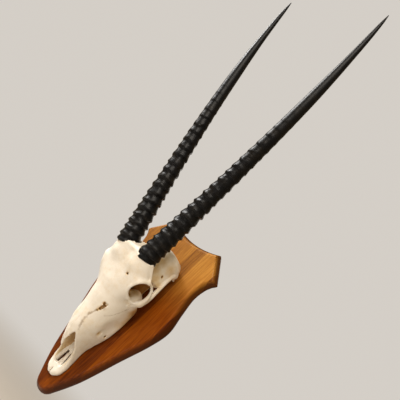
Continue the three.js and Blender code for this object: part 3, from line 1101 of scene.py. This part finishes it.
def makeMetal(name, tint, roughness):
    material, tree, shader, place = newMaterial(name)
    brushed = noise(tree, place, 2600.0, 3.0, 0.6, (0.05, 1.0, 1.0))
    shade_and_stain = remap(tree, noise(tree, place, 160.0, 4.0, 0.6), 0.45, 0.75)
    tone = mixColour(tree, shade_and_stain, tint, colour(*(0.6 * part for part in tint[:3])))
    rough = remap(tree, brushed, 0.3, 0.7, roughness, roughness + 0.2)
    dress(tree, shader, tone, rough, brushed, 0.08 * mm, 0.4)
    shader.inputs["Metallic"].default_value = 1.0
    return material


def makeScrewTree():
    tree, start = newTree("cross recess screw", {
        "Place": "Vector", "Turn": "Float", "Rim": "Float", "Material": "Material"}, sunkScrew)
    inputs = {"Vertices": 40, "Side Segments": 200, "Radius": 1.0, "Depth": 1.0}
    body = put(tree, "GeometryNodeMeshCylinder", inputs, fill_type="NGON").outputs
    inputs = {"Geometry": body["Mesh"], "Selection": body["Side"]}
    body = put(tree, "GeometryNodeSetShadeSmooth", inputs).outputs[0]
    position = put(tree, "GeometryNodeInputPosition").outputs[0]
    parts = splitXyz(tree, position)
    # the cylinder's top is the head's face
    deep = times(tree, calc(tree, "SUBTRACT", 0.5, parts["Z"]), start["Length"])
    share = calc(tree, "DIVIDE", deep, start["Head depth"])
    inHead = calc(tree, "POWER", remap(tree, share, start["Rim"], 1.0, kind="LINEAR"), 0.8)
    narrowing = calc(tree, "SUBTRACT", start["Neck radius"], start["Face radius"])
    head = calc(tree, "MULTIPLY_ADD", narrowing, inHead, start["Face radius"])
    # a thread winds round the shank, which narrows to the tip
    angle = calc(tree, "DIVIDE", calc(tree, "ARCTAN2", parts["Y"], parts["X"]), 2 * math.pi)
    turns = calc(tree, "ADD", calc(tree, "DIVIDE", deep, start["Thread pitch"]), angle)
    groove = times(tree, calc(tree, "PINGPONG", turns, 0.5), 2.0)
    groove = times(tree, groove, start["Thread depth"])
    shank = calc(tree, "SUBTRACT", start["Shank radius"], groove)
    toTip = calc(tree, "DIVIDE", calc(tree, "SUBTRACT", start["Length"], deep), start["Tip length"])
    shank = times(tree, shank, calc(tree, "MINIMUM", calc(tree, "MAXIMUM", toTip, 0.08), 1.0))
    beyond = calc(tree, "GREATER_THAN", deep, start["Head depth"])
    radius = calc(tree, "MULTIPLY_ADD", calc(tree, "SUBTRACT", shank, head), beyond, head)
    x, y = (times(tree, parts[axis], radius) for axis in ("X", "Y"))
    place = joinXyz(tree, x, y, times(tree, deep, -1.0))
    body = put(tree, "GeometryNodeSetPosition", {"Geometry": body, "Position": place}).outputs[0]
    # two crossed bars, narrower at the bottom, cut the recess
    long, thin = (times(tree, start["Recess"], part) for part in (2.0, 0.42))
    tall = times(tree, start["Recess depth"], 2.0)
    bottom = times(tree, start["Recess depth"], -1.0)
    narrow = remap(tree, parts["Z"], bottom, start["Recess depth"], 0.5, 1.5, "LINEAR")
    tapered = vectorCalc(tree, "MULTIPLY", position, joinXyz(tree, narrow, narrow, 1.0))
    cutNode = put(tree, "GeometryNodeMeshBoolean", operation="DIFFERENCE", solver="EXACT")
    tree.links.new(body, cutNode.inputs["Mesh 1"])
    for size in (joinXyz(tree, long, thin, tall), joinXyz(tree, thin, long, tall)):
        bar = put(tree, "GeometryNodeMeshCube", {"Size": size}).outputs[0]
        inputs = {"Geometry": bar, "Position": tapered}
        bar = put(tree, "GeometryNodeSetPosition", inputs).outputs[0]
        tree.links.new(bar, cutNode.inputs["Mesh 2"])
    # the axis is laid along the wall's direction, with the head at the back
    spin = joinXyz(tree, 0.0, 0.0, start["Turn"])
    inputs = {"Geometry": cutNode.outputs[0], "Rotation": spin}
    laid = put(tree, "GeometryNodeTransform", inputs).outputs[0]
    inputs = {"Geometry": laid, "Translation": start["Place"], "Rotation": (-math.pi / 2, 0.0, 0.0)}
    laid = put(tree, "GeometryNodeTransform", inputs).outputs[0]
    finishTree(tree, laid, start["Material"])
    return tree


def makeHardware():
    metals = {name: makeMetal(name + " steel", **look) for name, look in metalLook.items()}
    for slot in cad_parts["hanger_plate"].material_slots:
        slot.material = metals["yellow passivated"]
    tree = makeScrewTree()
    for number, (name, (kind, finish, slot, place)) in enumerate(screws.items()):
        out, depth, along = place
        sizes = {label: value * mm for label, value in kind.items()}
        piece = grow(name + "_body", tree, {
            **sizes, "Place": Vector((out * mm, -depth * mm, (noseZ + along) * mm)),
            "Turn": 0.3 + 0.9 * number, "Rim": rims[slot], "Material": metals[finish]})
        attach(piece, "root")
        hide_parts(name)
        print(name, "made,", len(piece.data.polygons), "faces")


makeHardware()

# floor and light

studio = {
    "floorZ": -0.95,
    "floorRadius": 60,
    "floorTones": (colour(0.68, 0.65, 0.61), colour(0.74, 0.71, 0.67)),
    "backdrop": (0.66, 0.62, 0.57),
    "roomLight": 0.48,
    "bounce": (0.66, 0.47, 0.24),
    "window": {"place": (-2.2, -1.1, 1.7), "size": 1.0, "power": 103, "tint": (1.0, 0.99, 0.97)},
    "front": {"place": (0.35, -1.5, 1.15), "size": 1.0, "power": 26, "tint": (1.0, 0.93, 0.83)},
    "edge": {"place": (0.3, -1.65, -0.65), "size": 0.3, "power": 3, "tint": (1.0, 0.93, 0.88)},
    "rear": {"place": (-0.4, 2.2, 0.9), "size": 1.6, "power": 12, "tint": (1.0, 0.97, 0.93)},
}


def roomGlow(tree):
    # the backdrop shows pale, and lights the object more softly than it looks
    seen = put(tree, "ShaderNodeLightPath").outputs["Is Camera Ray"]
    tint = mixColour(tree, seen, colour(*studio["bounce"]), colour(*studio["backdrop"]))
    return {"Color": tint, "Strength": remap(tree, seen, 0.0, 1.0, studio["roomLight"], 1.0)}


def makeFloor():
    # a broad floor that fades into the backdrop with distance
    radius, sides = studio["floorRadius"], 48
    angles = [k * 2 * math.pi / sides for k in range(sides)]
    ring = [(radius * math.cos(a), radius * math.sin(a), studio["floorZ"]) for a in angles]
    mesh = newMesh("floor", ring, [tuple(range(sides))])
    material, tree, shader, place = newMaterial("pale floor")
    tone = mixColour(tree, noise(tree, place, 3.0, 3.0), *studio["floorTones"])
    tree.links.new(tone, shader.inputs["Base Color"])
    shader.inputs["Roughness"].default_value = 0.8
    far = remap(tree, vectorCalc(tree, "LENGTH", place), 1.6, 5.0)
    glow = put(tree, "ShaderNodeEmission", roomGlow(tree))
    mixed = put(tree, "ShaderNodeMixShader", {0: far, 1: shader.outputs[0], 2: glow.outputs[0]})
    tree.links.new(mixed.outputs[0], tree.nodes["Material Output"].inputs[0])
    newObject("floor", mesh, material)


def makeLight(name, plan, target=(0.0, -0.1, 0.15)):
    data = bpy.data.lights.new(name, "AREA")
    data.shape = "DISK"
    data.size = plan["size"]
    data.energy = plan["power"]
    data.color = plan["tint"]
    lamp = newObject(name, data)
    lamp.location = plan["place"]
    lamp.rotation_mode = "QUATERNION"
    lamp.rotation_quaternion = (Vector(target) - lamp.location).to_track_quat("-Z", "Y")


def makeStudio():
    makeFloor()
    for name in ("window", "front", "edge", "rear"):
        makeLight(name + " light", studio[name])
    world = bpy.data.worlds.new("soft room")
    world.use_nodes = True
    tree = world.node_tree
    for name, value in roomGlow(tree).items():
        tree.links.new(value, tree.nodes["Background"].inputs[name])
    bpy.context.scene.world = world
    bpy.context.scene.view_settings.view_transform = "Standard"
    print("studio lit")


makeStudio()
